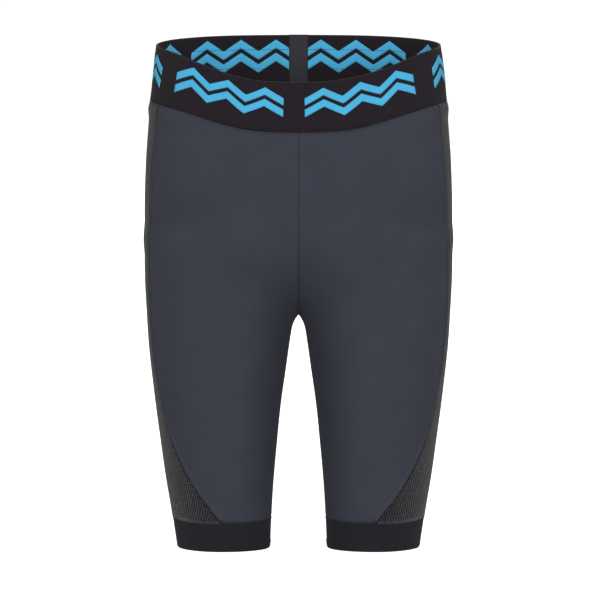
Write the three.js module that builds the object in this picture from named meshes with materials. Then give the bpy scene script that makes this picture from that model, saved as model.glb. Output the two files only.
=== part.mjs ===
// Padded impact shorts for skiing, in the shape that a worn pair takes.
// Millimetres, +Z up. The front faces -Y and the wearer's left is +X.
// The two leg hems stand on z = 0 and the origin is midway between front and back.
import * as THREE from "three";

// ---- Driving dimensions ----

const inseam = 246; // hem to crotch
const sideRise = 282; // crotch to the waistband's top edge at the side
const frontDrop = 31; // how far the waistband's top edge dips at the front centre
const frontSeamDrop = 26; // the same, for the waist seam
const backRise = 4; // how far the top edge rises at the back centre
const hipRise = 79; // crotch to the widest level of the hips
const hipWidth = 323;
const waistWidth = 297;
const bellyDepth = 114; // front of the belly, from the garment's middle plane
const waistFrontDepth = 90;
const seatDepth = 126; // back of the seat, from the same plane
const waistBackDepth = 98;
const hemWidth = 98; // one leg opening, side to side
const hemGap = 58; // between the two hems
const hemFrontDepth = 50;
const hemBackDepth = 54;
const thighFrontDepth = 100;
const thighBackDepth = 110;

const waistbandHeight = 58;
const waistbandThickness = 2;
const waistbandStandOff = 0.4; // how far its face stands proud of the panels
const joinCoverWidth = 20;
const joinCoverThickness = 0.8;
const cuffHeight = 31;
const cuffThickness = 1.6;
const panelThickness = 1.2;
const gussetFrontTip = 17; // height of its front tip over the crotch
const gussetBackTip = 24;
const gussetDrop = 46; // how far its side corners hang below the crotch

const sideSeamInset = 3.5; // how far the side seam lies in from the silhouette
const sideSeamHemInset = 51; // the same, where it meets the cuff
const sideSeamHipBow = 5; // the bow towards the front below the waistband
const sideSeamBowDrop = 50; // from the waist seam to the middle of that bow
const backSeamInset = 13;
const backSeamHemInset = 40;
const seamTapeWidth = 6.5;
const seamTapeThickness = 0.4;
const seamRidgeWidth = 5; // an overlocked seam allowance, on the inside
const seamRidgeThickness = 0.9;
const gripWidth = 12; // the silicone band inside each cuff
const gripThickness = 0.6;
const gripRise = 6; // hem to the grip's lower edge

const seamGap = 0.5; // between two panels that meet at a seam
const layerGap = 0.35; // between two layers that lie on each other
const tapeGap = 0.6; // between a seam tape and the panel that it lies on
const facetGap = 1.3; // between two layers that have facets of their own

const pocketBorder = 8; // the lining shows this far round a pad
const liningThickness = 0.7;
const pocketSpacing = 10; // from the hip pad's lining down to the thigh pad's
const hipPad = { width: 118, height: 150, thickness: 10, drop: 30, angle: 90 };
const thighPad = { width: 92, height: 118, thickness: 8, angle: 82 };
const tailbonePad = { width: 84, height: 104, thickness: 10, drop: 23 };
thighPad.drop = hipPad.drop + hipPad.height + 2 * pocketBorder + pocketSpacing;

const labelWidth = 24;
const labelLength = 44;
const labelThickness = 0.4;
const labelCentre = 72; // its distance from the back's centre line
const labelStandOff = 1;

// ---- Levels that follow from them ----

const hipLevel = inseam + hipRise;
const waistTop = inseam + sideRise;
const waistSeam = waistTop - waistbandHeight;
const radians = THREE.MathUtils.degToRad;
const lerp = THREE.MathUtils.lerp;

// ---- The worn shape, as a field that is negative inside the body ----

const bell = (t) => Math.exp(-t * t);
const rise = (z) => Math.sin((Math.PI / 2) * THREE.MathUtils.clamp(z / hipLevel, 0, 1));

// Half the overall width at a height.
function outerEdge(z) {
  const hemEdge = hemGap / 2 + hemWidth;
  if (z <= hipLevel) return lerp(hemEdge, hipWidth / 2, rise(z));
  const up = (z - hipLevel) / (waistTop - hipLevel);
  return lerp(hipWidth / 2, waistWidth / 2, up * up);
}

// Half the gap between the legs at a height; it closes a little above the crotch.
const gapClosing = 24;
function innerEdge(z) {
  return (hemGap / 2) * (1 - Math.pow(Math.max(z, 0) / (inseam + gapClosing), 1.7));
}

const bellyLevel = inseam + 149;
const seatLevel = inseam + 101;
const torsoFront = (z) => lerp(waistFrontDepth, bellyDepth, bell((z - bellyLevel) / 75));
const torsoBack = (z) => lerp(waistBackDepth, seatDepth, bell((z - seatLevel) / 70));
const legFront = (z) => lerp(hemFrontDepth, thighFrontDepth, rise(z));
const legBack = (z) => lerp(hemBackDepth, thighBackDepth, rise(z));
const legCentre = (z) => (outerEdge(z) + innerEdge(z)) / 2;
const legMiddle = (z) => (legBack(z) - legFront(z)) / 2;

const torsoPower = 2.8; // a squarer oval than an ellipse
const legPower = 2.2;
const crotchWeb = 13; // the smooth join between the legs hangs this far below the torso
const torsoBowl = hipRise - crotchWeb; // depth of the rounded bottom that closes the torso
const legDome = 62; // height of the rounded top that closes a leg
const legDomeStart = hipLevel;
const sideBlend = 4;
const crotchBlend = 44;
const crotchBlendReach = 92;

// Signed distance, roughly, from an oval column whose end is rounded past `over` > 0.
function column(dx, dy, halfWidth, halfDepth, power, over) {
  const flat = Math.pow(Math.abs(dx / halfWidth), power) + Math.pow(Math.abs(dy / halfDepth), power);
  const q = Math.hypot(Math.pow(flat, 1 / power), Math.max(over, 0));
  return (q - 1) * Math.min(halfWidth, halfDepth);
}

function body(x, y, z) {
  const side = Math.abs(x);
  const legHalf = (outerEdge(z) - innerEdge(z)) / 2;
  const legDepth = (legFront(z) + legBack(z)) / 2;
  const legOver = (z - legDomeStart) / legDome;
  const leg = column(side - legCentre(z), y - legMiddle(z), legHalf, legDepth, legPower, legOver);
  const torsoDepth = (torsoFront(z) + torsoBack(z)) / 2;
  const torsoMiddle = (torsoBack(z) - torsoFront(z)) / 2;
  const torsoOver = (hipLevel - z) / torsoBowl;
  const torso = column(side, y - torsoMiddle, outerEdge(z), torsoDepth, torsoPower, torsoOver);
  const blend = lerp(sideBlend, crotchBlend, bell((side / crotchBlendReach) ** 2));
  const near = Math.max(blend - Math.abs(leg - torso), 0) / blend;
  return Math.min(leg, torso) - (near * near * blend) / 4;
}

// The field's slope, which points out of the body.
function slope(p) {
  const e = 0.05;
  return new THREE.Vector3(
    body(p.x + e, p.y, p.z) - body(p.x - e, p.y, p.z),
    body(p.x, p.y + e, p.z) - body(p.x, p.y - e, p.z),
    body(p.x, p.y, p.z + e) - body(p.x, p.y, p.z - e),
  ).divideScalar(2 * e);
}

// Moves a point onto the body's surface. `level` keeps its height.
function settle(p, level = false) {
  for (let i = 0; i < 12; i++) {
    const g = slope(p);
    if (level) g.z = 0;
    p.addScaledVector(g, -body(p.x, p.y, p.z) / Math.max(g.lengthSq(), 0.04));
  }
  return p;
}

// The first surface point that a level ray meets, from (x, y) towards (dx, dy).
function cast(x, y, z, dx, dy) {
  const stride = 3;
  let outside = stride;
  while (body(x + dx * outside, y + dy * outside, z) < 0) outside += stride;
  let inside = outside - stride;
  for (let i = 0; i < 30; i++) {
    const middle = (inside + outside) / 2;
    if (body(x + dx * middle, y + dy * middle, z) < 0) inside = middle;
    else outside = middle;
  }
  return new THREE.Vector3(x + dx * inside, y + dy * inside, z);
}

const onFront = (x, z) => cast(x, legMiddle(z), z, 0, -1);
const onBack = (x, z) => cast(x, legMiddle(z), z, 0, 1);
const onInnerThigh = (z) => cast(legCentre(z), legMiddle(z), z, -1, 0);

// A point round the left leg's axis: 0 is the front, 90 the outside, 180 the back.
function roundLeg(angle, z) {
  return cast(legCentre(z), legMiddle(z), z, Math.sin(radians(angle)), -Math.cos(radians(angle)));
}

// A point round the waist, from the front centre towards the left, that far below the top edge.
function roundWaist(angle, below) {
  let z = waistTop - below;
  let p;
  for (let i = 0; i < 4; i++) {
    p = cast(0, 0, z, Math.sin(radians(angle)), -Math.cos(radians(angle)));
    z = waistDip(p, waistTop - below);
  }
  p.z = z;
  return p;
}

// A level round the waist, with the dip towards the front centre and the rise at the back.
function waistDip(p, level) {
  const down = THREE.MathUtils.clamp((waistTop - level) / waistbandHeight, 0, 1);
  const drop = lerp(frontDrop, frontSeamDrop, down);
  const forward = Math.min(Math.max(-p.y, 0) / torsoFront(level - drop), 1);
  const backward = Math.min(Math.max(p.y, 0) / torsoBack(level), 1);
  return level - drop * forward ** 5 + lerp(backRise, 0, down) * backward ** 2;
}

// ---- Seam lines, on the left half ----

// The rows of every panel, from the waist seam to the cuff seam. Each stretch
// has its own share of rows, and the inner line takes another height than the side.
const frontTip = inseam + gussetFrontTip;
const backTip = inseam + gussetBackTip;
const corner = inseam - gussetDrop;
const panelTop = waistSeam - seamGap;
const panelBottom = cuffHeight + seamGap;
const stretches = [
  { rows: 10, side: [panelTop, hipLevel - 30] },
  { rows: 5, side: [hipLevel - 30, corner] },
  { rows: 8, side: [corner, panelBottom] },
];

const flare = (z) => {
  const start = inseam - 36; // the side seams start to sweep out below this height
  return z < start ? ((start - z) / (start - cuffHeight)) ** 2.3 : 0;
};

function frontSideSeam(z) {
  const bow = sideSeamHipBow * bell((waistSeam - z - sideSeamBowDrop) / sideSeamBowDrop);
  const inset = lerp(sideSeamInset, sideSeamHemInset, flare(z)) + bow;
  return onFront(outerEdge(z) - inset, z);
}

function backSideSeam(z) {
  return onBack(outerEdge(z) - lerp(backSeamInset, backSeamHemInset, flare(z)), z);
}

function seamRows(line) {
  const points = [];
  stretches.forEach((stretch, s) => {
    for (let k = s ? 1 : 0; k <= stretch.rows; k++) {
      points.push(line(s, k / stretch.rows, lerp(...stretch.side, k / stretch.rows)));
    }
  });
  return points;
}

const sideFrontLine = seamRows((s, t, z) => {
  const p = frontSideSeam(z);
  return s === 0 && t === 0 ? frontSideSeam(waistDip(p, panelTop)) : p;
});
const sideBackLine = seamRows((s, t, z) => backSideSeam(z));

// The centre seam, then the gusset's edge, then the inseam.
function innerLine(onSide, tip, top) {
  const cornerPoint = onInnerThigh(corner);
  const tipPoint = onSide(0, tip);
  return seamRows((s, t) => {
    if (s === 0) return onSide(0, lerp(top, tip, t));
    if (s === 1) return settle(tipPoint.clone().lerp(cornerPoint, t));
    return onInnerThigh(lerp(corner, panelBottom, t));
  });
}
const frontTop = waistDip(onFront(0, panelTop - frontSeamDrop), panelTop);
const frontLine = innerLine(onFront, frontTip, frontTop);
const backLine = innerLine(onBack, backTip, panelTop);

// ---- From lines to solids ----

// A grid of points over the body, between two lines with the same number of rows.
// `turn` is how the angle runs round the leg's axis, +1 from the inner line to the side.
function spanned(from, to, columns) {
  const polar = (p, over) => {
    const x = p.x - legCentre(p.z);
    const y = p.y - legMiddle(p.z);
    const angle = Math.atan2(x, -y);
    return { angle: angle < -Math.PI / 2 && over ? angle + 2 * Math.PI : angle, radius: Math.hypot(x, y) };
  };
  return from.map((a, row) => {
    const b = to[row];
    const over = a.y + b.y > 0 && Math.abs(polar(b, false).angle) > 1.2;
    const start = polar(a, over);
    const end = polar(b, over);
    if (over && end.angle < 0) end.angle += 2 * Math.PI;
    return Array.from({ length: columns + 1 }, (_, c) => {
      if (c === 0) return a.clone();
      if (c === columns) return b.clone();
      const t = c / columns;
      const z = lerp(a.z, b.z, t);
      const angle = lerp(start.angle, end.angle, t);
      const radius = lerp(start.radius, end.radius, t);
      const p = new THREE.Vector3(
        legCentre(z) + radius * Math.sin(angle),
        legMiddle(z) - radius * Math.cos(angle),
        z,
      );
      return settle(p);
    });
  });
}

// Bends a panel's top row to the waist seam, and shares the change among the rows below.
function followWaist(grid) {
  const rows = stretches[0].rows;
  for (let c = 1; c < grid[0].length - 1; c++) {
    const first = grid[0][c].clone();
    for (let i = 0; i < 4; i++) {
      first.z = waistDip(first, panelTop);
      settle(first, true);
    }
    const change = first.z - grid[0][c].z;
    for (let r = 0; r < rows; r++) {
      grid[r][c].z += change * (1 - r / rows);
      settle(grid[r][c], true);
    }
  }
  return grid;
}

// Draws a grid's edges in, so that neighbours at a seam keep `seamGap` between them.
function trimmed(grid) {
  const inwards = (edge, next) => edge.clone().lerp(next, seamGap / 2 / edge.distanceTo(next));
  const last = grid.length - 1;
  const rows = grid.map((row) => {
    const end = row.length - 1;
    const copy = row.map((p) => p.clone());
    copy[0] = inwards(row[0], row[1]);
    copy[end] = inwards(row[end], row[end - 1]);
    return copy;
  });
  rows[0] = rows[0].map((p, c) => inwards(p, rows[1][c]));
  rows[last] = rows[last].map((p, c) => inwards(p, rows[last - 1][c]));
  return rows;
}

// A closed solid between two offsets from a grid of surface points. A ring joins its
// first column to its last. `level` offsets sideways only, which keeps heights.
function solid(grid, outside, inside, { ring = false, level = false } = {}) {
  const rows = grid.length;
  const columns = grid[0].length;
  const positions = [];
  for (const offset of [outside, inside]) {
    grid.forEach((row, r) =>
      row.forEach((p, c) => {
        const n = slope(p);
        if (level) n.z = 0;
        const distance = typeof offset === "function" ? offset(r / (rows - 1), c / (columns - 1)) : offset;
        positions.push(...p.clone().addScaledVector(n.normalize(), distance).toArray());
      }),
    );
  }
  const index = [];
  const at = (layer, r, c) => layer * rows * columns + r * columns + (c % columns);
  const quad = (a, b, c, d) => index.push(a, b, c, a, c, d);
  const lastColumn = ring ? columns : columns - 1;
  for (let r = 0; r < rows - 1; r++) {
    for (let c = 0; c < lastColumn; c++) {
      quad(at(0, r, c), at(0, r + 1, c), at(0, r + 1, c + 1), at(0, r, c + 1));
      quad(at(1, r, c), at(1, r, c + 1), at(1, r + 1, c + 1), at(1, r + 1, c));
    }
  }
  for (let c = 0; c < lastColumn; c++) {
    quad(at(0, 0, c), at(0, 0, c + 1), at(1, 0, c + 1), at(1, 0, c));
    quad(at(0, rows - 1, c + 1), at(0, rows - 1, c), at(1, rows - 1, c), at(1, rows - 1, c + 1));
  }
  for (let r = 0; r < rows - 1 && !ring; r++) {
    quad(at(0, r + 1, 0), at(0, r, 0), at(1, r, 0), at(1, r + 1, 0));
    quad(at(0, r, columns - 1), at(0, r + 1, columns - 1), at(1, r + 1, columns - 1), at(1, r, columns - 1));
  }
  const geometry = new THREE.BufferGeometry();
  geometry.setAttribute("position", new THREE.Float32BufferAttribute(positions, 3));
  geometry.setIndex(index);
  return facingOut(geometry);
}

// Turns every face round if the solid came out inside out.
function facingOut(geometry) {
  const p = geometry.getAttribute("position");
  const index = geometry.getIndex();
  const corners = [0, 1, 2].map(() => new THREE.Vector3());
  let volume = 0;
  for (let i = 0; i < index.count; i += 3) {
    corners.forEach((v, k) => v.fromBufferAttribute(p, index.getX(i + k)));
    volume += corners[0].dot(corners[1].cross(corners[2]));
  }
  if (volume < 0) {
    for (let i = 0; i < index.count; i += 3) {
      const second = index.getX(i + 1);
      index.setX(i + 1, index.getX(i + 2));
      index.setX(i + 2, second);
    }
  }
  geometry.computeVertexNormals();
  return geometry;
}

// A strip of a width along a line on the body, on both its sides unless it is shifted.
function strip(line, width, shift = 0) {
  return line.map((p, i) => {
    const along = line[Math.min(i + 1, line.length - 1)].clone().sub(line[Math.max(i - 1, 0)]);
    const across = slope(p).cross(along).normalize();
    return [-0.5, 0.5].map((share) => settle(p.clone().addScaledVector(across, (share + shift) * width)));
  });
}

// ---- Materials ----

const fabric = (color) => new THREE.MeshStandardMaterial({ color, roughness: 0.85, metalness: 0 });
const shellFabric = fabric(0x3c3f49);
const meshFabric = fabric(0x3a393d);
const elastic = fabric(0x262127);
const cuffElastic = fabric(0x24232a);
const coverFabric = fabric(0x2c2b30);
const tape = fabric(0x3a3a45);
const thread = fabric(0x2e2f38);
const lining = fabric(0x1c1c20);
const foam = fabric(0x4d4f55);
const silicone = new THREE.MeshStandardMaterial({ color: 0x202024, roughness: 0.4, metalness: 0 });
const satin = new THREE.MeshStandardMaterial({ color: 0xe4e4e2, roughness: 0.5, metalness: 0 });

const shorts = new THREE.Group();

function add(name, geometry, material) {
  const mesh = new THREE.Mesh(geometry, material);
  mesh.name = name;
  shorts.add(mesh);
  return mesh;
}

// Adds a piece to the left side, and its mirror image to the right.
function addPair(name, geometry, material) {
  add(`${name}_left`, geometry, material);
  add(`${name}_right`, geometry, material).scale.x = -1;
}

// ---- Panels ----

const panelInside = -panelThickness;
const facet = 17; // about the longest side of a facet
const panelColumns = Math.ceil(hipWidth / 2 / facet);
const panel = (grid) => solid(trimmed(grid), 0, panelInside);
const frontGrid = followWaist(spanned(frontLine, sideFrontLine, panelColumns));
addPair("front_panel", panel(frontGrid), shellFabric);
addPair("side_panel", panel(spanned(sideFrontLine, sideBackLine, panelColumns)), meshFabric);
addPair("back_panel", panel(spanned(sideBackLine, backLine, panelColumns)), shellFabric);

// The gusset is a diamond between the two front and the two back panels.
function gussetGrid() {
  const first = stretches[0].rows;
  const count = stretches[1].rows;
  const edge = (line) => line.slice(first, first + count + 1);
  const mirror = (line) => line.map((p) => new THREE.Vector3(-p.x, p.y, p.z));
  const front = edge(frontLine);
  const back = edge(backLine);
  const frontRight = mirror(front);
  const backRight = mirror(back);
  return front.map((_, r) =>
    front.map((_, c) => {
      const s = r / count;
      const t = c / count;
      // A Coons patch: r runs along the front left edge, c along the front right one.
      const p = front[r].clone().multiplyScalar(1 - t).addScaledVector(backRight[count - r], t);
      p.addScaledVector(frontRight[c], 1 - s).addScaledVector(back[count - c], s);
      p.addScaledVector(front[0], -(1 - s) * (1 - t)).addScaledVector(front[count], -s * (1 - t));
      p.addScaledVector(frontRight[count], -(1 - s) * t).addScaledVector(back[0], -s * t);
      const onEdge = r === 0 || c === 0 || r === count || c === count;
      return onEdge ? p : settle(p);
    }),
  );
}
add("crotch_gusset", panel(gussetGrid()), shellFabric);

// ---- Waistband ----

const waistSteps = 56;
function waistRing(from, to, rows, steps = waistSteps) {
  return Array.from({ length: rows + 1 }, (_, r) =>
    Array.from({ length: steps }, (_, c) => roundWaist((360 * c) / steps, lerp(from, to, r / rows))),
  );
}
const bandInside = waistbandStandOff - waistbandThickness;
const bandOptions = { ring: true, level: true };
const bandGrid = waistRing(0, waistbandHeight, 2);
add("waistband", solid(bandGrid, waistbandStandOff, bandInside, bandOptions), elastic);

// The cover is a tape sewn over the band's butt join, inside at the back centre.
const coverTop = waistTop + backRise - 1;
const coverBottom = waistSeam + seamRidgeWidth / 2 + 1;
const joinCoverGrid = [0, 0.5, 1].map((down) =>
  [0.5, 0, -0.5].map((side) => onBack(side * joinCoverWidth, lerp(coverTop, coverBottom, down))),
);
const coverOutside = bandInside - layerGap;
add(
  "waistband_join_cover",
  solid(joinCoverGrid, coverOutside, coverOutside - joinCoverThickness, { level: true }),
  coverFabric,
);

// ---- Cuffs ----

const cuffSteps = 32;
function legRing(from, to, rows) {
  return Array.from({ length: rows + 1 }, (_, r) =>
    Array.from({ length: cuffSteps }, (_, c) => roundLeg((360 * c) / cuffSteps, lerp(from, to, r / rows))),
  );
}
addPair("leg_cuff", solid(legRing(cuffHeight, 0, 2), 0, -cuffThickness, bandOptions), cuffElastic);
const gripOutside = -cuffThickness - layerGap;
addPair(
  "cuff_grip",
  solid(legRing(gripRise + gripWidth, gripRise, 1), gripOutside, gripOutside - gripThickness, bandOptions),
  silicone,
);

// ---- Seams ----

const tapeInside = tapeGap;
const tapeOutside = tapeInside + seamTapeThickness;
const tapeSolid = (line, shift) => solid(strip(line, seamTapeWidth, shift), tapeOutside, tapeInside);
const inner = (line) => line.slice(1, -1);
addPair("side_seam_tape_front", tapeSolid(inner(sideFrontLine), -0.5), tape); // over the front panel
addPair("side_seam_tape_back", tapeSolid(inner(sideBackLine), 0.5), tape); // over the back panel

const ridgeOutside = panelInside - facetGap;
const ridgeInside = ridgeOutside - seamRidgeThickness;
const ridgeSolid = (line) => solid(strip(line, seamRidgeWidth), ridgeOutside, ridgeInside);
const tipRow = stretches[0].rows;
const cornerRow = tipRow + stretches[1].rows;
add("centre_front_seam", ridgeSolid(frontLine.slice(1, tipRow)), thread);
add("centre_back_seam", ridgeSolid(backLine.slice(1, tipRow)), thread);
addPair("inseam", ridgeSolid(frontLine.slice(cornerRow + 1, -1)), thread);
addPair("gusset_seam_front", ridgeSolid(frontLine.slice(tipRow + 1, cornerRow)), thread);
addPair("gusset_seam_back", ridgeSolid(backLine.slice(tipRow + 1, cornerRow)), thread);

const waistRidgeFrom = waistbandHeight - seamRidgeWidth / 2;
const waistRidge = waistRing(waistRidgeFrom, waistRidgeFrom + seamRidgeWidth, 1);
const waistRidgeOutside = Math.min(bandInside, panelInside) - facetGap;
add(
  "waist_seam",
  solid(waistRidge, waistRidgeOutside, waistRidgeOutside - seamRidgeThickness, bandOptions),
  thread,
);
const cuffRidge = legRing(cuffHeight + seamRidgeWidth / 2, cuffHeight - seamRidgeWidth / 2, 1);
const cuffRidgeOutside = -cuffThickness - facetGap;
const cuffRidgeInside = cuffRidgeOutside - seamRidgeThickness;
addPair("cuff_seam", solid(cuffRidge, cuffRidgeOutside, cuffRidgeInside, bandOptions), thread);

// ---- Pads and the lining pockets that hold them ----

// Maps a square onto an outline with round corners, both from -1 to 1.
const rounding = 0.42;
const rounded = (a, b) => [a * Math.sqrt(1 - rounding * b * b), b * Math.sqrt(1 - rounding * a * a)];

// A pad's `drop` is from the waist seam to the top edge of its lining.
function padGrid(pad, border, place, steps = 10) {
  const centre = waistSeam - pad.drop - pocketBorder - pad.height / 2;
  return Array.from({ length: steps + 1 }, (_, r) =>
    Array.from({ length: steps + 1 }, (_, c) => {
      const [a, b] = rounded((2 * c) / steps - 1, 1 - (2 * r) / steps);
      return place(a * (pad.width / 2 + border), centre + b * (pad.height / 2 + border));
    }),
  );
}

// How far a grid's place lies past the pad's edge, as a share of the border. The pad's
// own middle gives -1 and less.
function pastEdge(pad, down, across) {
  const past = (share, size) => Math.abs(2 * share - 1) * (size / 2 + pocketBorder) - size / 2;
  return Math.max(past(down, pad.height), past(across, pad.width)) / pocketBorder;
}

// The pad is full in the middle and thins towards its edge.
const padEdge = 2.5;
const padBevel = 26;
function padDepth(pad, past) {
  const t = THREE.MathUtils.clamp(1 + (past * pocketBorder) / padBevel, 0, 1);
  return lerp(pad.thickness, padEdge, t ** 2);
}

function addPad(name, pad, place, lift, adder) {
  const top = panelInside - facetGap - lift;
  const own = (down, across) => {
    const shrink = (share, size) => 0.5 + ((share - 0.5) * size) / (size + 2 * pocketBorder);
    return padDepth(pad, pastEdge(pad, shrink(down, pad.height), shrink(across, pad.width)));
  };
  adder(`${name}_pad`, solid(padGrid(pad, 0, place), top, (d, a) => top - own(d, a)), foam);
  const cover = (down, across) => {
    const past = pastEdge(pad, down, across);
    const sink = THREE.MathUtils.smoothstep(past, 0.1, 1);
    return top - lerp(padDepth(pad, past) + facetGap, 0, sink);
  };
  const pocket = padGrid(pad, pocketBorder, place, 12);
  adder(`${name}_pad_pocket`, solid(pocket, cover, (d, a) => cover(d, a) - liningThickness), lining);
}

const legRadius = 88; // the mean distance from a leg's axis to its side, at the pads
const onSide = (pad) => (across, z) => roundLeg(pad.angle + THREE.MathUtils.radToDeg(across / legRadius), z);
addPad("hip", hipPad, onSide(hipPad), 0, addPair);
addPad("thigh", thighPad, onSide(thighPad), 0, addPair);
addPad("tailbone", tailbonePad, onBack, seamRidgeThickness + facetGap, add);

// ---- Care label, blank, hanging from the waist seam inside the back ----

const labelTop = waistSeam - seamRidgeWidth / 2 - seamGap;
const labelGrid = [0, 0.5, 1].map((down) =>
  [0.5, -0.5].map((side) => onBack(labelCentre + side * labelWidth, labelTop - down * labelLength)),
);
const labelOutside = panelInside - labelStandOff;
add("care_label", solid(labelGrid, labelOutside, labelOutside - labelThickness, { level: true }), satin);

// ---- The origin is midway between the frontmost and the backmost point ----

shorts.updateMatrixWorld(true);
const reach = new THREE.Box3().setFromObject(shorts);
shorts.children.forEach((mesh) => {
  mesh.position.y = -(reach.min.y + reach.max.y) / 2;
});

export default shorts;
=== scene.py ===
import bpy
import numpy as np
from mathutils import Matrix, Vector


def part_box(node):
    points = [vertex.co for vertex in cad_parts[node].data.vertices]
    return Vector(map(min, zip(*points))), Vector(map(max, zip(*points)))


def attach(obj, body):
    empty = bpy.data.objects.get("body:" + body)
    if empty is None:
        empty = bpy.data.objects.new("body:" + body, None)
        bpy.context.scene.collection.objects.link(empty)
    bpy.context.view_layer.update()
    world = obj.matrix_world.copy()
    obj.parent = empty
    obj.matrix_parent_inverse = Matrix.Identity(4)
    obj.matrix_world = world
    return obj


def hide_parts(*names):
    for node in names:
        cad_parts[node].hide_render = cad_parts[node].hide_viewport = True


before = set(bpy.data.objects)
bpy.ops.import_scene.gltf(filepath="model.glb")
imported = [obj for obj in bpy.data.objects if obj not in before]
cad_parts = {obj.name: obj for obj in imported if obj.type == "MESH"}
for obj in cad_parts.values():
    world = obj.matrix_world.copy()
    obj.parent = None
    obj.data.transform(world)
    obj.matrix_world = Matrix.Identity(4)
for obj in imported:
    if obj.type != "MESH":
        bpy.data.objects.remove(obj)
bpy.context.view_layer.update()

# ---- Camera, lights and floor ----
# A long lens a little above the waistband looks straight at the front. The floor is white
# paper in a white room. Large soft lamps stand in front, behind and at both sides, and a
# small one on the floor throws light up between the legs.

picture_span = 0.630  # metres across the picture, at the shorts
camera_distance = 9.0
camera_height = 0.93  # above the level that it looks at
look_at = Vector((0.0016, 0.0, 0.2595))

camera = bpy.data.objects.new("camera", bpy.data.cameras.new("camera"))
bpy.context.scene.collection.objects.link(camera)
bpy.context.scene.camera = camera
camera.data.sensor_width = 36
camera.location = look_at + Vector((0, -camera_distance, camera_height))
sight = look_at - camera.location
camera.data.lens = camera.data.sensor_width * sight.length / picture_span
camera.data.clip_end = 300  # past the floor's edge
camera.rotation_euler = sight.to_track_quat("-Z", "Y").to_euler()


def soft_lamp(name, place, size, power):
    lamp = bpy.data.objects.new(name, bpy.data.lights.new(name, "AREA"))
    bpy.context.scene.collection.objects.link(lamp)
    lamp.data.shape = "DISK"
    lamp.data.size = size
    lamp.data.energy = power
    lamp.location = place
    lamp.rotation_euler = (look_at - Vector(place)).to_track_quat("-Z", "Y").to_euler()
    lamp.visible_camera = False


soft_lamp("key_lamp", (-1.8, -4.4, 2.1), 2.0, 115)
soft_lamp("fill_lamp", (1.9, -4.4, 1.7), 2.0, 115)
soft_lamp("low_lamp", (0.0, -3.6, 0.3), 1.2, 30)
soft_lamp("bounce_lamp", (0.0, -0.32, 0.01), 0.5, 0.22)
soft_lamp("back_lamp", (0.0, 4.4, 2.4), 2.0, 130)
soft_lamp("left_lamp", (4.4, 0.6, 1.6), 2.0, 70)
soft_lamp("right_lamp", (-4.4, 0.6, 1.6), 2.0, 60)

room = bpy.data.worlds.new("white_room")
room.use_nodes = True
room_nodes, room_links = room.node_tree.nodes, room.node_tree.links
room_light = room_nodes["Background"]
room_light.inputs["Color"].default_value = (1, 1, 1, 1)
room_seen = room_nodes.new("ShaderNodeMapRange")
room_seen.inputs["To Min"].default_value = 0.24  # its light on the shorts
room_seen.inputs["To Max"].default_value = 1.1  # it looks white past the floor's edge
room_rays = room_nodes.new("ShaderNodeLightPath")
room_links.new(room_rays.outputs["Is Camera Ray"], room_seen.inputs["Value"])
room_links.new(room_seen.outputs["Result"], room_light.inputs["Strength"])
bpy.context.scene.world = room
bpy.context.scene.view_settings.view_transform = "Standard"

floor_half = 30.0
floor_mesh = bpy.data.meshes.new("floor")
corners = [(-1, -1), (1, -1), (1, 1), (-1, 1)]
floor_points = [(x * floor_half, y * floor_half, 0) for x, y in corners]
floor_mesh.from_pydata(floor_points, [], [(0, 1, 2, 3)])
floor = bpy.data.objects.new("floor", floor_mesh)
bpy.context.scene.collection.objects.link(floor)
paper = bpy.data.materials.new("white_paper")
paper.use_nodes = True
paper_shader = paper.node_tree.nodes["Principled BSDF"]
paper_shader.inputs["Base Color"].default_value = (0.5, 0.5, 0.5, 1)
paper_shader.inputs["Roughness"].default_value = 1.0
paper_shader.inputs["Emission Color"].default_value = (1, 1, 1, 1)
paper_shader.inputs["Emission Strength"].default_value = 0.92
floor_mesh.materials.append(paper)
floor.visible_diffuse = False
floor.visible_glossy = False


# ---- Stretch panels ----
# Two front panels, two back panels and a diamond gusset, in a smooth two-way stretch knit.
# They are sewn edge to edge and stretched over the body, so each lies on the body's surface.

mm = 0.001
inseam = 246 * mm
side_rise = 282 * mm
front_drop = 31 * mm  # dip of the waistband's top edge at the front centre
front_seam_drop = 26 * mm
back_rise = 4 * mm
hip_rise = 79 * mm
hip_width = 323 * mm
waist_width = 297 * mm
belly_depth = 114 * mm
waist_front_depth = 90 * mm
seat_depth = 126 * mm
waist_back_depth = 98 * mm
hem_width = 98 * mm
hem_gap = 58 * mm
hem_front_depth = 50 * mm
hem_back_depth = 54 * mm
thigh_front_depth = 100 * mm
thigh_back_depth = 110 * mm
waistband_height = 58 * mm
band_stand_off = 0.4 * mm
cuff_height = 32.5 * mm
cloth_thickness = 1.2 * mm
gusset_front_tip = 17 * mm
gusset_back_tip = 24 * mm
gusset_drop = 46 * mm

hip_level = inseam + hip_rise
waist_top = inseam + side_rise
waist_seam = waist_top - waistband_height
belly_level = inseam + 149 * mm
seat_level = inseam + 101 * mm


def lerp(a, b, t):
    return a + (b - a) * t


def bell(t):
    return np.exp(-t * t)


def rise(z):
    """How far a level has come up from the hem to the hips, slower towards the hips."""
    return np.sin(np.pi / 2 * np.clip(z / hip_level, 0, 1))


def outer_edge(z):
    legs = lerp(hem_gap / 2 + hem_width, hip_width / 2, rise(z))
    up = np.clip((z - hip_level) / (waist_top - hip_level), 0, None)
    return np.where(z <= hip_level, legs, lerp(hip_width / 2, waist_width / 2, up**2))


def inner_edge(z):
    return hem_gap / 2 * (1 - (np.maximum(z, 0) / (inseam + 24 * mm)) ** 1.7)


def torso_front(z):
    return lerp(waist_front_depth, belly_depth, bell((z - belly_level) / (75 * mm)))


def torso_back(z):
    return lerp(waist_back_depth, seat_depth, bell((z - seat_level) / (70 * mm)))


def leg_front(z):
    return lerp(hem_front_depth, thigh_front_depth, rise(z))


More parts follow.
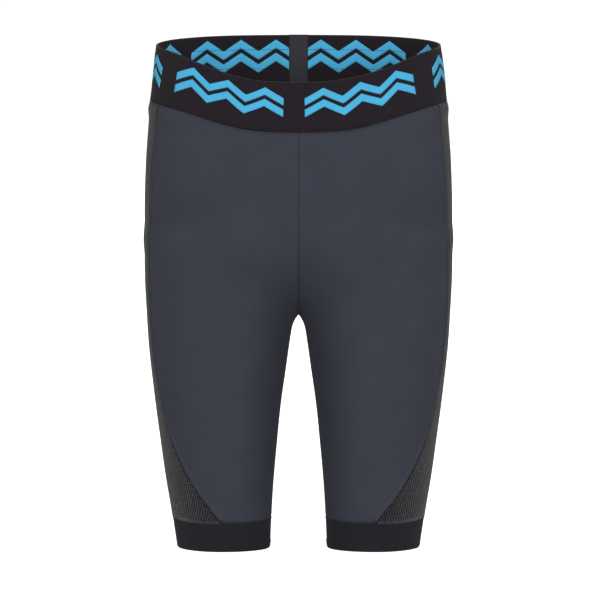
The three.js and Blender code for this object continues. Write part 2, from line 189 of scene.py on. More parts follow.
def leg_back(z):
    return lerp(hem_back_depth, thigh_back_depth, rise(z))


def leg_centre(z):
    return (outer_edge(z) + inner_edge(z)) / 2


def leg_middle(z):
    return (leg_back(z) - leg_front(z)) / 2


def column(dx, dy, half_width, half_depth, power, over):
    """Metres from an upright column with rounded sides, closed where `over` passes 0."""
    flat = np.abs(dx / half_width) ** power + np.abs(dy / half_depth) ** power
    q = np.hypot(flat ** (1 / power), np.maximum(over, 0))
    return (q - 1) * np.minimum(half_width, half_depth)


# The cloth's slow swells, a third of a millimetre high, as four waves.
swells = 1.4 * np.array([[52, 31, 18], [-37, 26, 47], [21, -44, 63], [64, 12, -29]])
swell_height = 0.09 * mm
leg_roundness, torso_roundness = 2.2, 2.8  # 2 is an ellipse and more is squarer


def body(p):
    """The worn body as a field: metres from its surface, negative inside."""
    x, y, z = p[..., 0], p[..., 1], p[..., 2]
    side = np.abs(x)
    leg_half = (outer_edge(z) - inner_edge(z)) / 2
    leg_depth = (leg_front(z) + leg_back(z)) / 2
    leg_over = (z - hip_level) / (62 * mm)
    leg = column(side - leg_centre(z), y - leg_middle(z), leg_half, leg_depth, leg_roundness, leg_over)
    depth = (torso_front(z) + torso_back(z)) / 2
    middle = (torso_back(z) - torso_front(z)) / 2
    over = (hip_level - z) / (hip_rise - 13 * mm)
    torso = column(side, y - middle, outer_edge(z), depth, torso_roundness, over)
    blend = lerp(4 * mm, 44 * mm, bell((side / (92 * mm)) ** 2))
    near = np.maximum(blend - np.abs(leg - torso), 0) / blend
    swell = np.sin(p @ swells.T).sum(-1)
    return np.minimum(leg, torso) - near**2 * blend / 4 + swell_height * swell


def slope(p):
    e = 0.05 * mm
    steps = np.eye(3) * e
    return np.stack([body(p + s) - body(p - s) for s in steps], -1) / (2 * e)


def out_of(p, level=False):
    """Unit vectors out of the body, level ones if asked."""
    g = slope(p)
    if level:
        g[..., 2] = 0
    return g / np.linalg.norm(g, axis=-1, keepdims=True)


settle_passes = 12
least_steep = 0.04  # keeps a point from jumping where the field is nearly flat


def settle(p, level=False):
    """Moves points onto the body's surface; a level move keeps their heights."""
    for _ in range(settle_passes):
        g = slope(p)
        if level:
            g[..., 2] = 0
        steep = np.maximum((g * g).sum(-1), least_steep)
        p = p - g * (body(p) / steep)[..., None]
    return p


halvings = 22  # of a stride, down to about a nanometre


def cast(x, y, z, dx, dy, dz=0, side=1):
    """Where rays leave the body. Rays that start outside it, with side -1, stop on it."""
    given = (np.asarray(a, float) for a in (x, y, z, dx, dy, dz))
    x, y, z, dx, dy, dz = np.broadcast_arrays(*given)

    def at(far):
        return np.stack([x + dx * far, y + dy * far, z + dz * far], -1)

    stride = (3 if side == 1 else 1) * mm  # shorter outside, where the gap is narrow
    outside = np.full(x.shape, stride)
    going = side * body(at(outside)) < 0
    while going.any():
        outside = outside + stride * going
        going = going & (side * body(at(outside)) < 0)
    inside = outside - stride
    for _ in range(halvings):
        half = (inside + outside) / 2
        within = side * body(at(half)) < 0
        inside = np.where(within, half, inside)
        outside = np.where(within, outside, half)
    return at(inside)


def on_front(x, z):
    return cast(x, leg_middle(z), z, 0, -1)


def on_back(x, z):
    return cast(x, leg_middle(z), z, 0, 1)


def on_inner_thigh(z):
    return cast(leg_centre(z), leg_middle(z), z, -1, 0)


def waist_dip(p, level):
    """The height of a level round the waist at points p."""
    down = np.clip((waist_top - level) / waistband_height, 0, 1)
    drop = lerp(front_drop, front_seam_drop, down)
    forward = np.clip(-p[..., 1] / torso_front(level - drop), 0, 1)
    backward = np.clip(p[..., 1] / torso_back(level), 0, 1)
    return level - drop * forward**5 + back_rise * (1 - down) * backward**2


# The seam lines of the left half, row by row from the waist seam to the cuff seam. The
# rows fall in three stretches: down to the gusset's tip, along the gusset, and below it.
stretch_rows = (44, 26, 44)
tuck = 1.2 * mm  # the ends lie this far under the band and the cuff
panel_top = waist_seam + tuck
panel_bottom = cuff_height - tuck
corner = inseam - gusset_drop
side_levels = [panel_top, hip_level - 30 * mm, corner, panel_bottom]
shares = [np.linspace(0, 1, count + 1)[1 if i else 0 :] for i, count in enumerate(stretch_rows)]
side_falls = [lerp(*side_levels[i : i + 2], t) for i, t in enumerate(shares)]
side_heights = np.concatenate(side_falls)


def flare(z):
    """How far a side seam has swept in from the silhouette, 0 to 1 at the cuff."""
    start = inseam - 36 * mm
    return np.clip((start - z) / (start - cuff_height), 0, None) ** 2.3


front_inset = (3.5 * mm, 51 * mm)  # from the silhouette, at the hips and at the cuff
back_inset = (13 * mm, 40 * mm)
hip_bow = 7.5 * mm


def front_side_seam(z):
    bow = hip_bow * bell((waist_seam - z - 20 * mm) / (75 * mm))
    return on_front(outer_edge(z) - lerp(*front_inset, flare(z)) - bow, z)


def back_side_seam(z):
    return on_back(outer_edge(z) - lerp(*back_inset, flare(z)), z)


def inner_line(on_side, tip, top):
    """The centre seam, then the gusset's edge, then the inseam."""
    tip_point = on_side(0, tip)
    corner_point = on_inner_thigh(corner)
    return np.concatenate([
        on_side(0, lerp(top, tip, shares[0])),
        settle(lerp(tip_point, corner_point, shares[1][:, None])),
        on_inner_thigh(lerp(corner, panel_bottom, shares[2])),
    ])


easing_passes = 160
eased_from = 45 * mm  # above the hem, in full from twice this further up


def eased(line):
    """A side seam with its depth evened out above the cuff, put back on the body."""
    z = line[:, 2]
    depth = line[:, 1].copy()
    for _ in range(easing_passes):
        depth[1:-1] = (depth[:-2] + 2 * depth[1:-1] + depth[2:]) / 4
    depth = lerp(line[:, 1], depth, np.clip((z - eased_from) / (2 * eased_from), 0, 1))
    return cast(leg_centre(z), depth, z, 1, 0)


side_front_line = eased(front_side_seam(side_heights))
side_back_line = eased(back_side_seam(side_heights))
front_top = waist_dip(on_front(0, panel_top - front_seam_drop), panel_top)
front_line = inner_line(on_front, inseam + gusset_front_tip, front_top)
back_line = inner_line(on_back, inseam + gusset_back_tip, panel_top)


def across(width, step):
    """Shares across a panel, closer together beside its two seams."""
    edge = np.array([0, 0.5, 1.1, 1.9, 3.0]) * mm / width
    middle = np.linspace(edge[-1], 1 - edge[-1], max(int(width / step), 2) + 1)
    return np.concatenate([edge[:-1], middle, 1 - edge[-2::-1]])


def spanned(start, end, width, step=4 * mm):
    """A grid over the body between two seam lines, following the waist seam at its top."""
    t = across(width, step)[None, :]

    def polar(p):
        x = p[:, 0] - leg_centre(p[:, 2])
        y = p[:, 1] - leg_middle(p[:, 2])
        return np.arctan2(x, -y), np.hypot(x, y)

    (a0, r0), (a1, r1) = polar(start), polar(end)
    behind = (start[:, 1] + end[:, 1] > 0) & (np.abs(a1) > 1.2)
    a0 = np.where(behind & (a0 < -np.pi / 2), a0 + 2 * np.pi, a0)
    a1 = np.where(behind & (a1 < 0), a1 + 2 * np.pi, a1)
    angle = lerp(a0[:, None], a1[:, None], t)
    radius = lerp(r0[:, None], r1[:, None], t)
    z = lerp(start[:, None, 2], end[:, None, 2], t)
    place = [leg_centre(z) + radius * np.sin(angle), leg_middle(z) - radius * np.cos(angle), z]
    grid = settle(np.stack(place, -1))
    rows = stretch_rows[0]
    first = grid[0].copy()
    for _ in range(4):
        first[:, 2] = waist_dip(first, panel_top)
        first = settle(first, level=True)
    share = 1 - np.arange(rows) / rows
    grid[:rows, :, 2] += np.outer(share, first[:, 2] - grid[0, :, 2])
    grid[:rows] = settle(grid[:rows], level=True)
    return grid


# The frame's origin is midway between front and back, which puts the field's plane here.
middle_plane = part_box("waistband")[1][1] - (torso_back(waist_seam) + band_stand_off)


def cloth_coordinates(grid, ring=False):
    """Metres across and down a grid, for the weave."""
    if ring:
        grid = np.concatenate([grid, grid[:, :1]], 1)
    steps = np.linalg.norm(np.diff(grid, axis=1), axis=-1)
    u = np.concatenate([np.zeros((len(grid), 1)), np.cumsum(steps, 1)], 1)
    falls = np.linalg.norm(np.diff(grid, axis=0), axis=-1)
    v = np.concatenate([np.zeros((1, grid.shape[1])), -np.cumsum(falls, 0)])
    return np.stack([u - u[:, -1:] / 2, v], -1)


def link(name, mesh, material):
    piece = bpy.data.objects.new(name, mesh)
    bpy.context.scene.collection.objects.link(piece)
    if material:
        mesh.materials.append(material)
    return piece


def shell(outside, inside, uv, ring=False, loop=False):
    """Points, quads and uv of a closed cloth between two grids. A ring joins the last
    column to the first. A loop joins the last row to the first and needs no `inside`."""
    layers = [outside] if loop else [outside, inside]
    rows, columns = outside.shape[:2]
    r, c = np.mgrid[0 : rows if loop else rows - 1, 0 : columns if ring else columns - 1]
    r, c = r.ravel(), c.ravel()
    square = [(r, c), (r + 1, c), (r + 1, c + 1), (r, c + 1)]
    faces = []
    for layer in range(len(layers)):
        order = square if layer == 0 else square[::-1]
        faces.append(np.stack([np.stack([layer + 0 * i, i, j], -1) for i, j in order], 1))

    def rim(i, j, turned):
        quad = [(0, i[:-1], j[:-1]), (1, i[:-1], j[:-1]), (1, i[1:], j[1:]), (0, i[1:], j[1:])]
        quad = quad[::-1] if turned else quad
        faces.append(np.stack([np.stack([k + 0 * a, a, b], -1) for k, a, b in quad], 1))

    if not loop:
        along = np.arange(columns + 1 if ring else columns)
        rim(0 * along, along, True)
        rim(0 * along + rows - 1, along, False)
        if not ring:
            down = np.arange(rows)
            rim(down, 0 * down, False)
            rim(down, 0 * down + columns - 1, True)
    faces = np.concatenate(faces)
    index = (faces[..., 0] * rows + faces[..., 1] % rows) * columns + faces[..., 2] % columns
    points = np.concatenate([layer.reshape(-1, 3) for layer in layers])
    rows_uv, columns_uv = uv.shape[:2]
    flat_uv = uv[np.minimum(faces[..., 1], rows_uv - 1), np.minimum(faces[..., 2], columns_uv - 1)]
    return points, index, flat_uv


def layer(grid, out, top, bottom, ring=False):
    """A closed cloth over a grid, between two heights along the way out."""
    top, bottom = (np.broadcast_to(a, grid.shape[:2])[..., None] for a in (top, bottom))
    return shell(grid + out * top, grid + out * bottom, cloth_coordinates(grid, ring), ring)


def sewn(name, shells, material, side=1):
    """One object from shells. `side` -1 mirrors it to the right leg."""
    points, quads, corners = [], [], []
    for p, index, uv in shells:
        a, b, c, d = (p[index[:, k]] for k in range(4))
        volume = (a * np.cross(b, c)).sum() + (a * np.cross(c, d)).sum()
        turn = slice(None, None, -1 if volume * side < 0 else 1)
        quads.append(index[:, turn] + sum(len(q) for q in points))
        corners.append(uv[:, turn])
        points.append(p)
    mesh = bpy.data.meshes.new(name)
    placed = np.concatenate(points) * [side, 1, 1] + [0, middle_plane, 0]
    mesh.from_pydata(placed.tolist(), [], np.concatenate(quads).tolist())
    flat_uv = np.concatenate(corners).astype(np.float32)
    mesh.uv_layers.new(name="cloth").data.foreach_set("uv", flat_uv.ravel())
    mesh.shade_smooth()
    return link(name, mesh, material)


def rides(piece, node=None):
    """What a piece rides on and stands for: the CAD node that its name starts with, unless
    another is given. A piece's name is its node's and one more word."""
    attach(piece, "root")
    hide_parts(node or piece.name.rpartition("_")[0])


def linear(r, g, b):
    """A colour as a paint chart gives it, 0 to 255, in the shader's own scale."""
    c = np.array([r, g, b]) / 255
    return (*np.where(c <= 0.04045, c / 12.92, ((c + 0.055) / 1.055) ** 2.4), 1)


def set_up(node, **settings):
    """Sets a node's sockets. An underscore in a name stands for a space."""
    for name, value in settings.items():
        node.inputs[name.replace("_", " ")].default_value = value
    return node


def cloth_material(name, colour, weave, relief, roughness=0.85, sheen=0.03, mottle=0.12, painted_glint=0):
    """Knitted or woven cloth. `weave` is the size of one loop across and down, and `relief`
    is how high its yarn stands. A slow mottle varies the dye. Random small flecks are
    painted much lighter, as painted glints where the yarn catches the light."""
    material = bpy.data.materials.new(name)
    material.use_nodes = True
    nodes, links = material.node_tree.nodes, material.node_tree.links
    shader = nodes["Principled BSDF"]
    set_up(shader, Roughness=roughness, Sheen_Weight=sheen, Sheen_Roughness=0.5)
    set_up(shader, Specular_IOR_Level=0.15)

    def math_node(operation, *values):
        node = nodes.new("ShaderNodeMath")
        node.operation = operation
        for socket, value in zip(node.inputs, values):
            if isinstance(value, (int, float)):
                socket.default_value = value
            else:
                links.new(value, socket)
        return node.outputs[0]

    coordinates = nodes.new("ShaderNodeTexCoord")
    parts = nodes.new("ShaderNodeSeparateXYZ")
    links.new(coordinates.outputs["UV"], parts.inputs[0])
    wale = math_node("DIVIDE", parts.outputs["X"], weave[0])
    course = math_node("DIVIDE", parts.outputs["Y"], weave[1])
    lean = math_node("MULTIPLY", math_node("PINGPONG", course, 0.5), 0.6)
    loops = math_node("SINE", math_node("MULTIPLY", math_node("ADD", wale, lean), 2 * np.pi))
    rows = math_node("SINE", math_node("MULTIPLY", course, 2 * np.pi))
    yarn = math_node("ADD", loops, math_node("MULTIPLY", rows, 0.5))
    bump = set_up(nodes.new("ShaderNodeBump"), Strength=0.6, Distance=relief)
    links.new(yarn, bump.inputs["Height"])
    links.new(bump.outputs["Normal"], shader.inputs["Normal"])
    dye = set_up(nodes.new("ShaderNodeTexNoise"), Scale=38, Detail=4)
    links.new(coordinates.outputs["Object"], dye.inputs["Vector"])
    ramp = nodes.new("ShaderNodeMix")
    ramp.data_type = "RGBA"
    base = np.array(colour[:3])
    ramp.inputs["A"].default_value = (*(base * (1 - mottle)), 1)
    ramp.inputs["B"].default_value = (*(base * (1 + mottle)), 1)
    links.new(dye.outputs["Fac"], ramp.inputs["Factor"])
    links.new(ramp.outputs["Result"], shader.inputs["Base Color"])
    # Painted glints: random small spots turn five times lighter than the dye, standing in for yarn
    # catching the light.
    if painted_glint:
        glint = set_up(nodes.new("ShaderNodeTexNoise"), Scale=330, Detail=1)
        links.new(coordinates.outputs["Object"], glint.inputs["Vector"])
        chosen = set_up(nodes.new("ShaderNodeMapRange"), From_Min=0.52, From_Max=0.70, To_Max=painted_glint)
        links.new(glint.outputs["Fac"], chosen.inputs["Value"])
        painted_glint_mix = nodes.new("ShaderNodeMix")
        painted_glint_mix.data_type = "RGBA"
        painted_glint_mix.inputs["B"].default_value = (*(base * 5), 1)
        links.new(chosen.outputs["Result"], painted_glint_mix.inputs["Factor"])
        links.new(ramp.outputs["Result"], painted_glint_mix.inputs["A"])
        links.new(painted_glint_mix.outputs["Result"], shader.inputs["Base Color"])
    return material


slate_knit = cloth_material("slate_knit", linear(50, 52, 62), (0.9 * mm, 0.8 * mm), 0.06 * mm)
seam_sink = 0.8 * mm
tuck_sink = 0.35 * mm
pucker_height = 0.12 * mm
puff_height = 1.5 * mm
puff_level = 9 * mm  # below the band
puff_spread = 7 * mm
seam_roll = 1.3 * mm  # how far from a seam the cloth turns in
pucker_reach = 4 * mm
tuck_reach = 1.6 * mm


def puff(below):
    """How the looser panels swell out just under the tight waistband."""
    return puff_height * bell((below - puff_level) / puff_spread)


def panel(name, grid, material, side=1, puffed=True):
    """A cloth panel whose long edges turn in at its seams, and whose ends are tucked in."""
    uv = cloth_coordinates(grid)
    u, v = uv[..., 0], uv[..., 1]
    to_seam = np.minimum(u - u[:, :1], u[:, -1:] - u)
    to_end = np.minimum(v[:1] - v, v - v[-1:])
    pucker = pucker_height * np.sin(v / seam_roll) * bell(to_seam / pucker_reach)
    sink = seam_sink * bell(to_seam / seam_roll) - pucker
    sink = sink + tuck_sink * bell(to_end / tuck_reach)
    out = out_of(grid)
    if puffed:
        grid = grid + out * puff(-v)[..., None]
    outside = grid - out * sink[..., None]
    inside = grid - out * (cloth_thickness + 0.25 * sink)[..., None]
    return sewn(name, [shell(outside, inside, uv)], material, side)


legs = (("left", 1), ("right", -1))
front_grid = spanned(front_line, side_front_line, width=155 * mm)
back_grid = spanned(side_back_line, back_line, width=140 * mm)
for label, side in legs:
    piece = panel(f"front_panel_{label}_knit", front_grid, slate_knit, side)
    rides(piece)
    piece = panel(f"back_panel_{label}_knit", back_grid, slate_knit, side)
    rides(piece)

# The gusset's four edges are the panels' own, two in front and two behind.
tip_row, corner_row = stretch_rows[0], stretch_rows[0] + stretch_rows[1]


def finer(line, times):
    rows = np.linspace(0, len(line) - 1, (len(line) - 1) * times + 1)
    return np.stack([np.interp(rows, np.arange(len(line)), line[:, k]) for k in range(3)], -1)


front_edge = finer(front_line[tip_row : corner_row + 1], 3)
back_edge = finer(back_line[tip_row : corner_row + 1], 3)
mirror = np.array([-1, 1, 1])
s = np.linspace(0, 1, len(front_edge))[:, None, None]
t = s.transpose(1, 0, 2)
flat_grid = lerp(front_edge[:, None], (back_edge * mirror)[::-1][:, None], t)
flat_grid = flat_grid + lerp((front_edge * mirror)[None], back_edge[::-1][None], s)
near_tip = lerp(front_edge[0], front_edge[-1] * mirror, t)
flat_grid = flat_grid - lerp(near_tip, lerp(front_edge[-1], back_edge[0], t), s)

# It arches over the gap between the legs, so it is cast from a line low in the gap.
arch_axis = corner - 14 * mm
reach_x, reach_z = flat_grid[..., 0], flat_grid[..., 2] - arch_axis
reach = np.hypot(reach_x, reach_z)
gusset_grid = cast(0, flat_grid[..., 1], arch_axis, reach_x / reach, 0, reach_z / reach, side=-1)
piece = panel("crotch_gusset_knit", gusset_grid, slate_knit, puffed=False)
rides(piece)


# ---- Mesh side panels ----
# An open warp knit runs down each side from the waistband to the cuff. Its ground is a
# dark sheet, and rows of raised yarn knots, each half a step along from the last, cover it.

side_grid = spanned(side_front_line, side_back_line, width=110 * mm)
ground_weave = (0.7 * mm, 0.7 * mm)
mesh_ground = cloth_material("mesh_ground", linear(20, 19, 23), ground_weave, 0.05 * mm, sheen=0.15)
yarn_twist = (0.3 * mm, 0.3 * mm)
yarn_relief = 0.02 * mm
# The knots' yarn carries painted glints, random light flecks for knots catching the light.
knot_yarn = cloth_material(
    "knot_yarn", linear(33, 32, 36), yarn_twist, yarn_relief, roughness=0.55, sheen=0.6, painted_glint=0.9
)
knot_pitch = 2.9 * mm
knot_row = 2.1 * mm
knot_margin = 1.5 * mm


def copies_tree():
    """A tree that sets one small rounded copy on each point. `out` and `along` turn it."""
    tree = bpy.data.node_groups.new("sewn_copies", "GeometryNodeTree")
    face = tree.interface
    sizes = ("Length", "Width", "Height")
    kinds = [("Points", "Geometry")] + [(size, "Float") for size in sizes] + [("Yarn", "Material")]
    for name, kind in kinds:
        face.new_socket(name, in_out="INPUT", socket_type=f"NodeSocket{kind}")
    face.new_socket("Copies", in_out="OUTPUT", socket_type="NodeSocketGeometry")
    nodes = tree.nodes

    def wire(source, output, target, socket):
        tree.links.new(source.outputs[output], target.inputs[socket])

    given, result = nodes.new("NodeGroupInput"), nodes.new("NodeGroupOutput")
    shape = set_up(nodes.new("GeometryNodeMeshUVSphere"), Radius=0.5, Segments=5, Rings=3)
    turn = nodes.new("FunctionNodeAxesToRotation")
    turn.primary_axis, turn.secondary_axis = "Z", "X"
    for name, socket in (("out", 0), ("along", 1)):
        read = nodes.new("GeometryNodeInputNamedAttribute")
        read.data_type = "FLOAT_VECTOR"
        read.inputs["Name"].default_value = name
        wire(read, "Attribute", turn, socket)
    size = nodes.new("ShaderNodeCombineXYZ")
    for axis, name in zip("XYZ", sizes):
        wire(given, name, size, axis)
    place = nodes.new("GeometryNodeInstanceOnPoints")
    wire(given, "Points", place, "Points")
    wire(shape, "Mesh", place, "Instance")
    wire(turn, "Rotation", place, "Rotation")
    wire(size, "Vector", place, "Scale")
    real = nodes.new("GeometryNodeRealizeInstances")
    smooth = nodes.new("GeometryNodeSetShadeSmooth")
    finish = nodes.new("GeometryNodeSetMaterial")
    wire(place, "Instances", real, "Geometry")
    wire(real, "Geometry", smooth, "Geometry")
    wire(smooth, "Geometry", finish, "Geometry")
    wire(given, "Yarn", finish, "Material")
    wire(finish, "Geometry", result, "Copies")
    return tree


sewn_copies = copies_tree()


def copies(name, points, out, along, size, yarn, side=1):
    """Copies of a knot or a stitch at points on the cloth, as one plain mesh."""
    flip = np.array([side, 1, 1])
    mesh = bpy.data.meshes.new(name)
    mesh.from_pydata((points * flip + [0, middle_plane, 0]).tolist(), [], [])
    for label, vectors in (("out", out), ("along", along)):
        attribute = mesh.attributes.new(label, "FLOAT_VECTOR", "POINT")
        attribute.data.foreach_set("vector", (vectors * flip).astype(np.float32).ravel())
    piece = link(name, mesh, None)
    modifier = piece.modifiers.new("copies", "NODES")
    modifier.node_group = sewn_copies
    sockets = {item.name: item.identifier for item in sewn_copies.interface.items_tree}
    for label, value in zip(("Length", "Width", "Height"), size):
        modifier[sockets[label]] = value
    modifier[sockets["Yarn"]] = yarn
    evaluated = piece.evaluated_get(bpy.context.evaluated_depsgraph_get())
    made = bpy.data.meshes.new_from_object(evaluated)
    piece.modifiers.clear()
    piece.data = made
    return piece


def on_grid(grid, u, v):
    """Points at metres (u, v) on a grid, and which of them lie on it."""
    uv = cloth_coordinates(grid)
    down = -uv[:, uv.shape[1] // 2, 1]
    row = np.interp(v, down, np.arange(len(down)))
    low = np.minimum(row.astype(int), len(down) - 2)
    blend = (row - low)[:, None]
    ends = [lerp(uv[low, k, 0], uv[low + 1, k, 0], row - low) for k in (0, -1)]
    ends = np.sort(ends, axis=0)

    def at_row(index):
        cells = np.arange(uv.shape[1])
        place = np.array([np.interp(a, uv[i, :, 0], cells) for a, i in zip(u, index)])
        cell = np.minimum(place.astype(int), len(cells) - 2)
        return lerp(grid[index, cell], grid[index, cell + 1], (place - cell)[:, None])

    points = lerp(at_row(low), at_row(low + 1), blend)
    return points, (u > ends[0] + knot_margin) & (u < ends[1] - knot_margin)


rows_down = np.arange(knot_margin, 449 * mm, knot_row)
steps_across = np.arange(-100 * mm, 100 * mm, knot_pitch)
v, u = (a.ravel() for a in np.meshgrid(rows_down, steps_across, indexing="ij"))
u = u + knot_pitch / 2 * (np.round(v / knot_row - 0.5) % 2)
knots, kept = on_grid(side_grid, u, v)
kept &= v < -cloth_coordinates(side_grid)[-1, :, 1].min() - 1 * mm
knots = settle(knots[kept])
knot_out = out_of(knots)
knots = knots + knot_out * puff(v[kept])[:, None]
lengthways = np.cross(knot_out, [[0, 1, 0]])
knot_size = (1.6 * mm, 1.15 * mm, 0.8 * mm)
for label, side in legs:
    piece = panel(f"side_panel_{label}_ground", side_grid, mesh_ground, side)
    rides(piece)
    name = f"side_panel_{label}_knots"
    piece = copies(name, knots, knot_out, lengthways, knot_size, knot_yarn, side)
    rides(piece)


# ---- Side seam tapes ----
# A narrow bonded tape covers each seam between the mesh and the stretch panels. Two rows of
# fine stitches hold its edges.

tape_width = 6.5 * mm
tape_knit = cloth_material("tape_knit", linear(53, 54, 63), (0.6 * mm, 0.6 * mm), 0.05 * mm)
tape_lift = 0.15 * mm
tape_thickness = 0.55 * mm
stitch_lift = 0.5 * mm
stitch_pitch = 2.8 * mm


def thread(name, r, g, b):
    return cloth_material(name, linear(r, g, b), yarn_twist, yarn_relief)


tape_thread = thread("tape_thread", 40, 41, 49)


def strip(line, width, shift=0, cells=6):
    """A grid of a width along a line on the body, on both its sides unless shifted."""
    along = np.gradient(line, axis=0)
    sideways = np.cross(out_of(line), along)
    sideways /= np.linalg.norm(sideways, axis=-1, keepdims=True)
    share = np.linspace(-0.5, 0.5, cells + 1) + shift
    return settle(line[:, None] + sideways[:, None] * (share * width)[None, :, None])


def crowned(name, grid, lift, thickness, material, side=1):
    """A flat tape, thinner at its two edges."""
    uv = cloth_coordinates(grid)
    share = np.linspace(-1, 1, grid.shape[1])
    out = out_of(grid)
    swell = puff(-uv[..., 1])
    top = swell + lift + thickness * (1 - 0.8 * np.abs(share) ** 4)
    outside = grid + out * top[..., None]
    inside = grid + out * (swell + lift - 0.1 * mm)[..., None]
    return sewn(name, [shell(outside, inside, uv)], material, side)


def stitch_row(line, pitch):
    """Even places along a line, with the way out of the cloth and the way along."""
    far = np.concatenate([[0], np.cumsum(np.linalg.norm(np.diff(line, axis=0), axis=-1))])
    stops = np.arange(pitch / 2, far[-1], pitch)
    points = np.stack([np.interp(stops, far, line[:, k]) for k in range(3)], -1)
    along = np.stack([np.interp(stops, far, np.gradient(line[:, k])) for k in range(3)], -1)
    return points, out_of(points), along


def joined(rows):
    """Several rows of stitches as one."""
    return [np.concatenate(parts) for parts in zip(*rows)]


stitch_size = (2.1 * mm, 0.55 * mm, 0.5 * mm)


def cut(line, high, low):
    """The stretch of a line between two heights, with a point at each."""
    z = np.concatenate([[high], line[(line[:, 2] < high) & (line[:, 2] > low), 2], [low]])
    order = np.argsort(line[:, 2])
    return np.stack([np.interp(z, line[order, 2], line[order, k]) for k in range(3)], -1)


for place, line, shift in (("front", side_front_line, -0.5), ("back", side_back_line, 0.5)):
    seam_line = cut(line, waist_seam - 0.3 * mm, cuff_height + 0.3 * mm)
    tape_grid = strip(seam_line, tape_width, shift)
    edges = [stitch_row(tape_grid[:, k], stitch_pitch) for k in (1, -2)]
    points, out, along = joined(edges)
    far = np.concatenate([stitch_pitch * (np.arange(len(edge[0])) + 0.5) for edge in edges])
    points = points + out * puff(far)[:, None]
    for label, side in legs:
        name = f"side_seam_tape_{place}_{label}"
        piece = crowned(f"{name}_knit", tape_grid, tape_lift, tape_thickness, tape_knit, side)
        rides(piece)
        lifted = points + out * stitch_lift
        piece = copies(f"{name}_stitches", lifted, out, along, stitch_size, tape_thread, side)
        rides(piece)


# ---- Inner seams ----
# Flat overlocked seams join the panels on the inside. Each is a low ridge of folded cloth,
# and loops of thread wrap over it from side to side.

seam_thread = thread("seam_thread", 62, 63, 72)
seam_fold = cloth_material("seam_fold", linear(50, 52, 61), (0.6 * mm, 0.6 * mm), 0.05 * mm)
seam_width = 5 * mm
seam_height = 0.9 * mm
seam_clearance = 1.3 * mm
loop_pitch = 1.6 * mm
ring_loop_pitch = 1.8 * mm  # round the waist and the cuffs
ridge_under = -cloth_thickness - seam_clearance
loop_size = (4.6 * mm, 0.6 * mm, 0.5 * mm)


def ridged(name, grid, top, loops, side=1, ring=False, level=False):
    """A seam's ridge on the inside of a grid, and its loops of thread."""
    out = out_of(grid, level)
    share = np.linspace(-1, 1, grid.shape[0] if ring else grid.shape[1])
    crown = seam_height * (1 - 0.7 * share**2)
    crown = crown[:, None] if ring else crown[None, :]
    piece = sewn(f"{name}_fold", [layer(grid, out, top, top - crown, ring)], seam_fold, side)
    rides(piece)
    points, out, along = loops
    lifted = points + out * (top - seam_height)
    piece = copies(f"{name}_loops", lifted, out, np.cross(out, along), loop_size, seam_thread, side)
    rides(piece)


inner_seams = {
    "centre_front_seam": (front_line[2:tip_row], (1,)),
    "centre_back_seam": (back_line[2:tip_row], (1,)),
    "gusset_seam_front": (front_line[tip_row + 1 : corner_row], (1, -1)),
    "gusset_seam_back": (back_line[tip_row + 1 : corner_row], (1, -1)),
    "inseam": (front_line[corner_row + 1 : -2], (1, -1)),
}
for name, (line, sides) in inner_seams.items():
    for side in sides:
        node = name if len(sides) == 1 else name + ("_left" if side == 1 else "_right")
        ridged(node, strip(line, seam_width), ridge_under, stitch_row(line, loop_pitch), side)


# ---- Waistband ----
# A wide jacquard elastic, folded to nothing at its edges and sewn over the panels' top. Its
# upper edge is a paler woven selvedge. Its ends meet at the back centre.

band_thickness = 2 * mm
band_inside = band_stand_off - band_thickness
band_elastic = cloth_material("band_elastic", linear(26, 21, 27), (1.5 * mm, 0.9 * mm), 0.10 * mm)
band_edge = 0.9 * mm  # the radius of its rounded edges
band_ease = 0.10 * mm
band_steps = 420
band_rows = 34


def round_waist(angle, below):
    """Points round the waist, from the front centre to the left, `below` the top edge."""
    level = waist_top - below
    z = level + 0 * angle
    for _ in range(4):
        p = cast(0, 0, z, np.sin(angle), -np.cos(angle))
        z = waist_dip(p, level)
    p[..., 2] = z
    return p


band_angles = np.linspace(0, 2 * np.pi, band_steps + 1)
middle_ring = round_waist(band_angles, waistband_height / 2)
band_steps_far = np.linalg.norm(np.diff(middle_ring, axis=0), axis=-1)
band_lengths = np.concatenate([[0], np.cumsum(band_steps_far)])
band_round = band_lengths[-1]


def waist_angle(s):
    """The angle at a distance round the band from the front centre."""
    return np.interp(s % band_round, band_lengths, band_angles)


def waist_ring(first, last, rows, steps):
    angle = waist_angle(np.arange(steps) * band_round / steps)
    return round_waist(angle[None, :], np.linspace(first, last, rows + 1)[:, None])


def rounded_edge(below, height, radius):
    """How much a layer draws in near the two edges of a band."""
    gap = np.minimum(below, height - below)
    return radius * (1 - np.sqrt(np.clip(1 - (1 - np.clip(gap / radius, 0, 1)) ** 2, 0, 1)))


band_grid = waist_ring(0, waistband_height, band_rows, band_steps)
below = np.linspace(0, waistband_height, band_rows + 1)[:, None]
around = np.arange(band_steps)[None, :] * band_round / band_steps
ease = band_ease * np.sin(2 * np.pi * around / (46 * mm)) * np.sin(2 * np.pi * below / (70 * mm))
draw = rounded_edge(below, waistband_height, band_edge)
band_out = out_of(band_grid, level=True)
band_shell = layer(
    band_grid, band_out, band_stand_off + ease - draw, band_inside + ease + draw, ring=True
)
piece = sewn("waistband_elastic", [band_shell], band_elastic)
rides(piece)

# The selvedge and the four woven guide lines are raised rows of thread.
selvedge_thread = thread("selvedge_thread", 58, 54, 60)
guide_thread = thread("guide_thread", 19, 17, 20)


def band_line(below, depth, pitch):
    """Places for stitches round the band at a depth out of the body."""
    s = np.arange(int(band_round / pitch)) * pitch
    p = round_waist(waist_angle(s), below)
    out = out_of(p, level=True)
    return p + out * depth, out, np.cross(out, [[0, 0, -1]])


def band_stitches(name, lines, size, pitch, yarn):
    rows = [band_line(below, depth, pitch) for below, depth in lines]
    rides(copies(name, *joined(rows), size, yarn))


